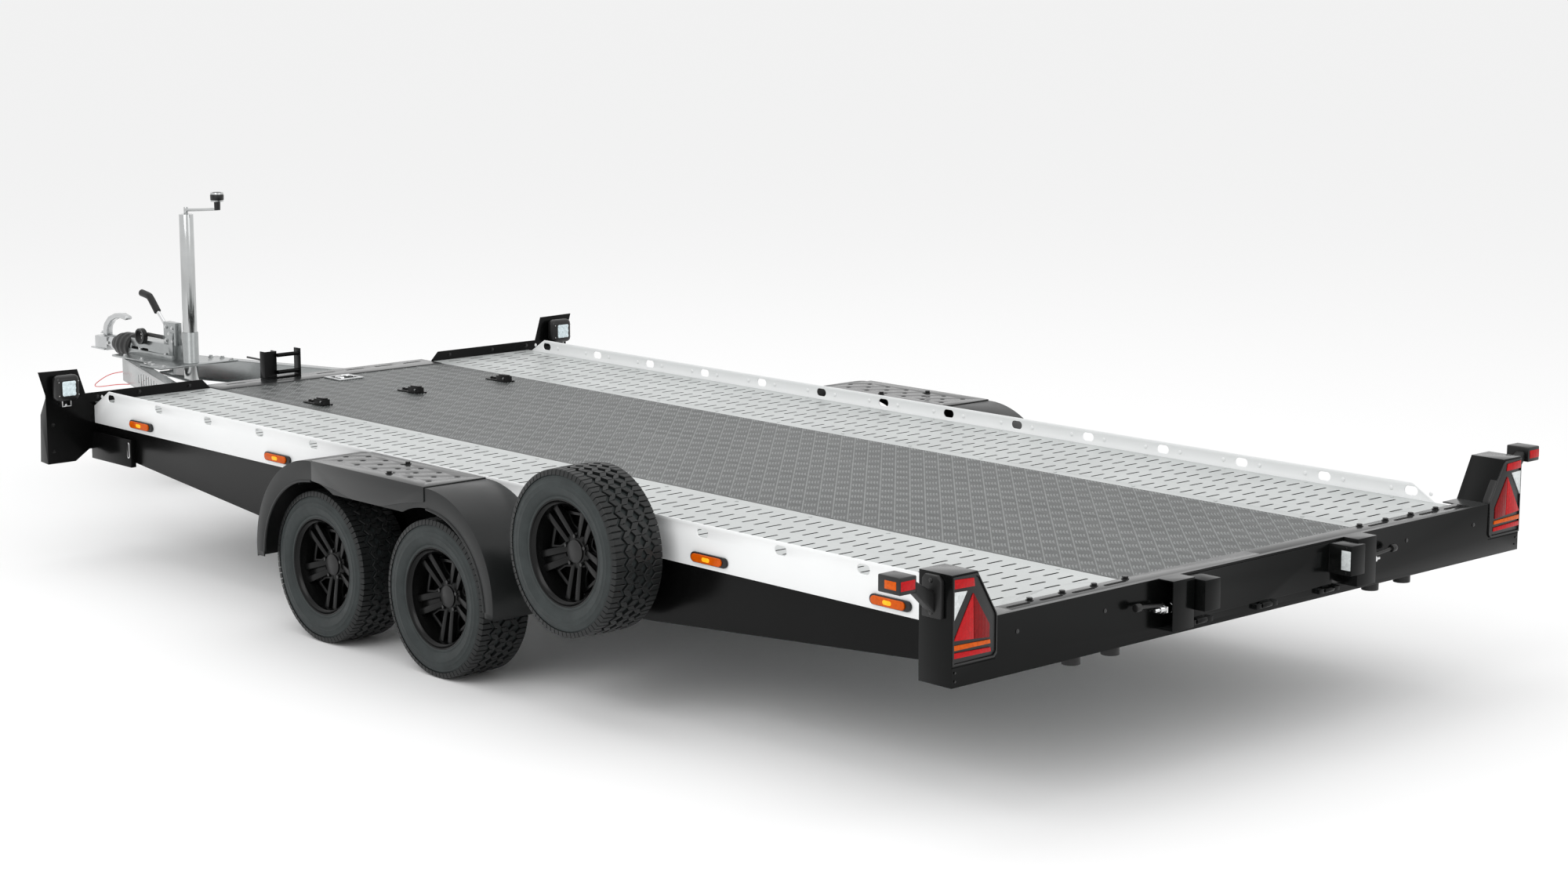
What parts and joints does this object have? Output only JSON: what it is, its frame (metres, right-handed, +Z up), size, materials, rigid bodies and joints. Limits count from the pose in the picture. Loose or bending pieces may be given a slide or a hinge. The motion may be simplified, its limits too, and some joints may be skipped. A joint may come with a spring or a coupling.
{
  "type": "car hauler trailer",
  "caption": "Low twin-axle car hauler trailer with perforated wheel tracks, lashing rails, fenders beside the deck, a V drawbar, an overrun coupling and a jockey jack.",
  "frame": {"origin": "on the ground, below the middle of the whole length, on the centreline", "axes": "+X forwards to the coupling, +Y to the left, +Z up"},
  "size_m": [6.602, 2.858, 1.239],
  "materials": {
    "black_steel": "semi-gloss black powder coat on steel",
    "rear_black": "black textured powder coat",
    "galvanised": "hot dip galvanised, dull with spangle",
    "zinc_tube": "bright zinc",
    "head_silver": "cast and blasted",
    "track_zinc": "galvanised sheet, pale",
    "plate_grey": "rolled tread plate, dark grey",
    "rail_white": "white gloss paint",
    "fender_grey": "satin dark grey moulded plastic",
    "step_grey": "satin grey steel",
    "lamp_red": "red lens in a black bezel",
    "marker_amber": "amber lens on a black base",
    "marker_rubber": "black rubber arm with small lenses",
    "work_black": "black housing with a clear lens",
    "grip_black": "black grip on a zinc rod",
    "chrome_bolt": "bright zinc",
    "fitting_black": "black coated steel",
    "ramp_alloy": "mill finish aluminium",
    "tyre": "black tyre rubber",
    "red_cable": "red sheath of the breakaway cable",
    "rim_black": "gloss black cast alloy"
  },
  "bodies": {
    "chassis": {"axle_front": "galvanised", "axle_rear": "galvanised", "bellows": "marker_rubber", "brake_bracket": "rear_black", "brake_lever": "grip_black", "brake_rod": "galvanised", "breakaway_cable": "red_cable", "centre_plate": "plate_grey", "coupling_handle": "head_silver", "coupling_head": "head_silver", "cross_beams": "black_steel", "drawbar_beam_left": "galvanised", "drawbar_beam_right": "galvanised", "fender_left": "fender_grey", "fender_right": "fender_grey", "front_guard_left": "black_steel", "front_guard_right": "black_steel", "front_plate": "plate_grey", "jack_crank": "zinc_tube", "jack_tube": "zinc_tube", "lashing_fittings": "fitting_black", "latch_bolts": "chrome_bolt", "loading_ramps": "ramp_alloy", "nose_plate": "galvanised", "outline_markers": "marker_rubber", "outriggers": "black_steel", "overrun_housing": "zinc_tube", "ramp_runners": "galvanised", "rear_beam": "rear_black", "rear_buffers": "marker_rubber", "side_beam_left": "black_steel", "side_beam_right": "black_steel", "side_marker_lamps": "marker_amber", "side_rail_left": "rail_white", "side_rail_right": "rail_white", "spare_carrier": "rear_black", "spare_rim": "rim_black", "spare_tyre": "tyre", "step_plates": "step_grey", "tail_lamps": "lamp_red", "wheel_track_left": "track_zinc", "wheel_track_right": "track_zinc", "winch_bracket": "rear_black", "work_lamps": "work_black"},
    "wheel_front_left": {"tyre_front_left": "tyre", "rim_front_left": "rim_black"},
    "wheel_front_right": {"tyre_front_right": "tyre", "rim_front_right": "rim_black"},
    "wheel_rear_left": {"tyre_rear_left": "tyre", "rim_rear_left": "rim_black"},
    "wheel_rear_right": {"tyre_rear_right": "tyre", "rim_rear_right": "rim_black"},
    "ramp_flap": {"ramp_flap": "rear_black"},
    "jack_leg": {"jack_leg": "zinc_tube"},
    "jockey_swivel": {"jockey_fork": "zinc_tube"},
    "jockey_wheel": {"jockey_wheel": "tyre"}
  },
  "joints": [
    {"name": "wheel_front_left_spin", "type": "hinge", "parent": "chassis", "child": "wheel_front_left", "pos_m": [-0.297, 1.16, 0.255], "axis": [0, 1, 0], "continuous": true},
    {"name": "wheel_front_right_spin", "type": "hinge", "parent": "chassis", "child": "wheel_front_right", "pos_m": [-0.297, -1.16, 0.255], "axis": [0, 1, 0], "continuous": true},
    {"name": "wheel_rear_left_spin", "type": "hinge", "parent": "chassis", "child": "wheel_rear_left", "pos_m": [-0.937, 1.16, 0.255], "axis": [0, 1, 0], "continuous": true},
    {"name": "wheel_rear_right_spin", "type": "hinge", "parent": "chassis", "child": "wheel_rear_right", "pos_m": [-0.937, -1.16, 0.255], "axis": [0, 1, 0], "continuous": true},
    {"name": "ramp_flap_hinge", "type": "hinge", "parent": "chassis", "child": "ramp_flap", "pos_m": [-3.2265, 0, 0.432], "axis": [0, -1, 0], "range_deg": [0, 110]},
    {"name": "jack_lift", "type": "slide", "parent": "chassis", "child": "jack_leg", "axis": [0, 0, 1], "range_m": [0, 0.12]},
    {"name": "jockey_swivel_turn", "type": "hinge", "parent": "jack_leg", "child": "jockey_swivel", "pos_m": [2.528, 0, 0.25], "axis": [0, 0, 1], "continuous": true},
    {"name": "jockey_wheel_spin", "type": "hinge", "parent": "jockey_swivel", "child": "jockey_wheel", "pos_m": [2.483, 0, 0.1], "axis": [0, 1, 0], "continuous": true}
  ]
}
